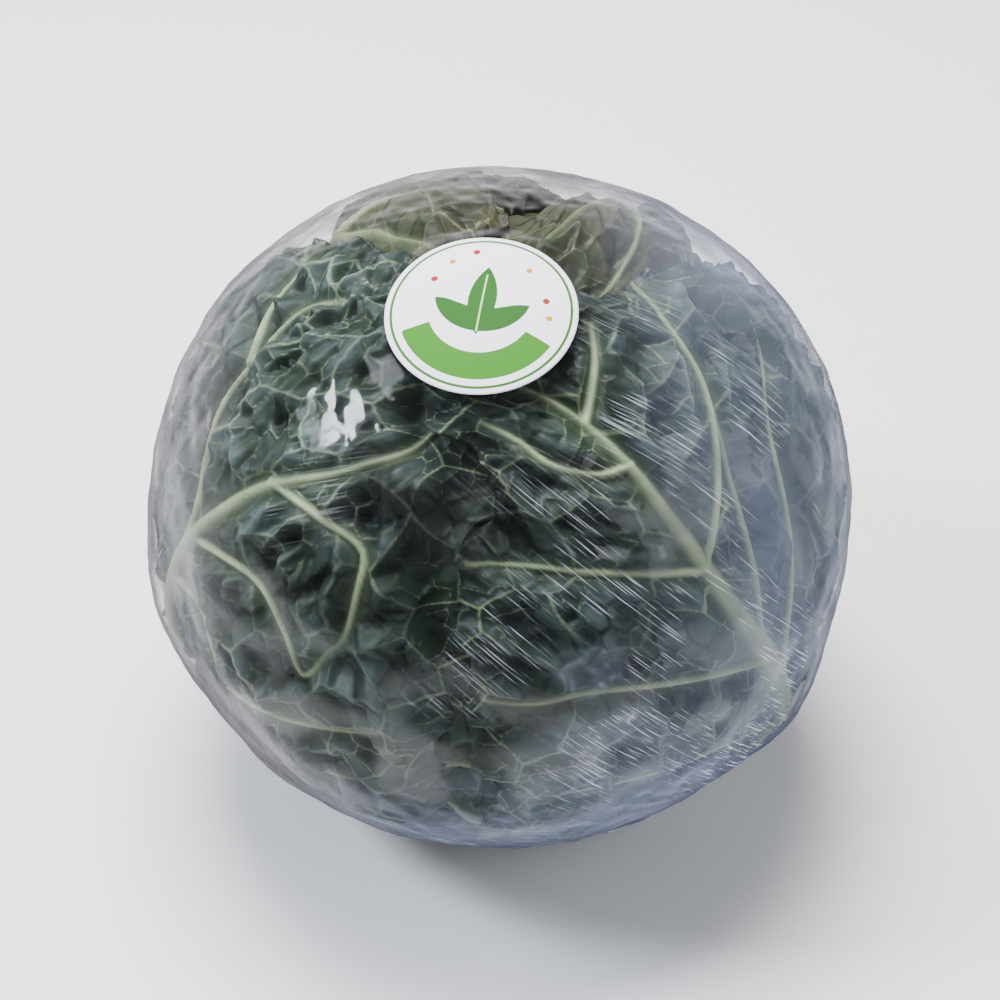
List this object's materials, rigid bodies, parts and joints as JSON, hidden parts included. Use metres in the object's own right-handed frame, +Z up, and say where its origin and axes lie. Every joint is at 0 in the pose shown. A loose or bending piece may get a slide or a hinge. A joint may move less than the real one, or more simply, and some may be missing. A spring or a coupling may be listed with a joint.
{
  "type": "savoy cabbage",
  "caption": "Round savoy cabbage head with blistered, ribbed wrapper leaves, standing on its cut stem, in clear stretch film with a round paper label.",
  "frame": {"origin": "middle of the cut stem's flat face, which the head stands on", "axes": "+Z up through the head along the stem; -Y towards the side that the picture shows; +X to the right of it"},
  "size_m": [0.2004, 0.1998, 0.1821],
  "materials": {
    "stem": "cut fibrous stalk, pale green-white",
    "heart_leaf": "crisp yellow-green leaf, waxy",
    "outer_leaf": "dark blue-green blistered leaf with pale raised veins, waxy",
    "inner_leaf": "mid-green blistered leaf with pale raised veins, waxy",
    "stretch_film": "clear stretch film, glossy, with pleats and fine streaks",
    "label_paper": "coated white paper with a plain green motif"
  },
  "bodies": {
    "root": {"stem": "stem", "heart": "heart_leaf", "leaf_1_right": "outer_leaf", "leaf_2_left": "outer_leaf", "leaf_3_back_left": "outer_leaf", "leaf_4_back": "outer_leaf", "leaf_5_front": "inner_leaf", "leaf_6_right_side": "inner_leaf", "leaf_7_front_left": "inner_leaf", "film": "stretch_film", "label": "label_paper"}
  },
  "joints": []
}
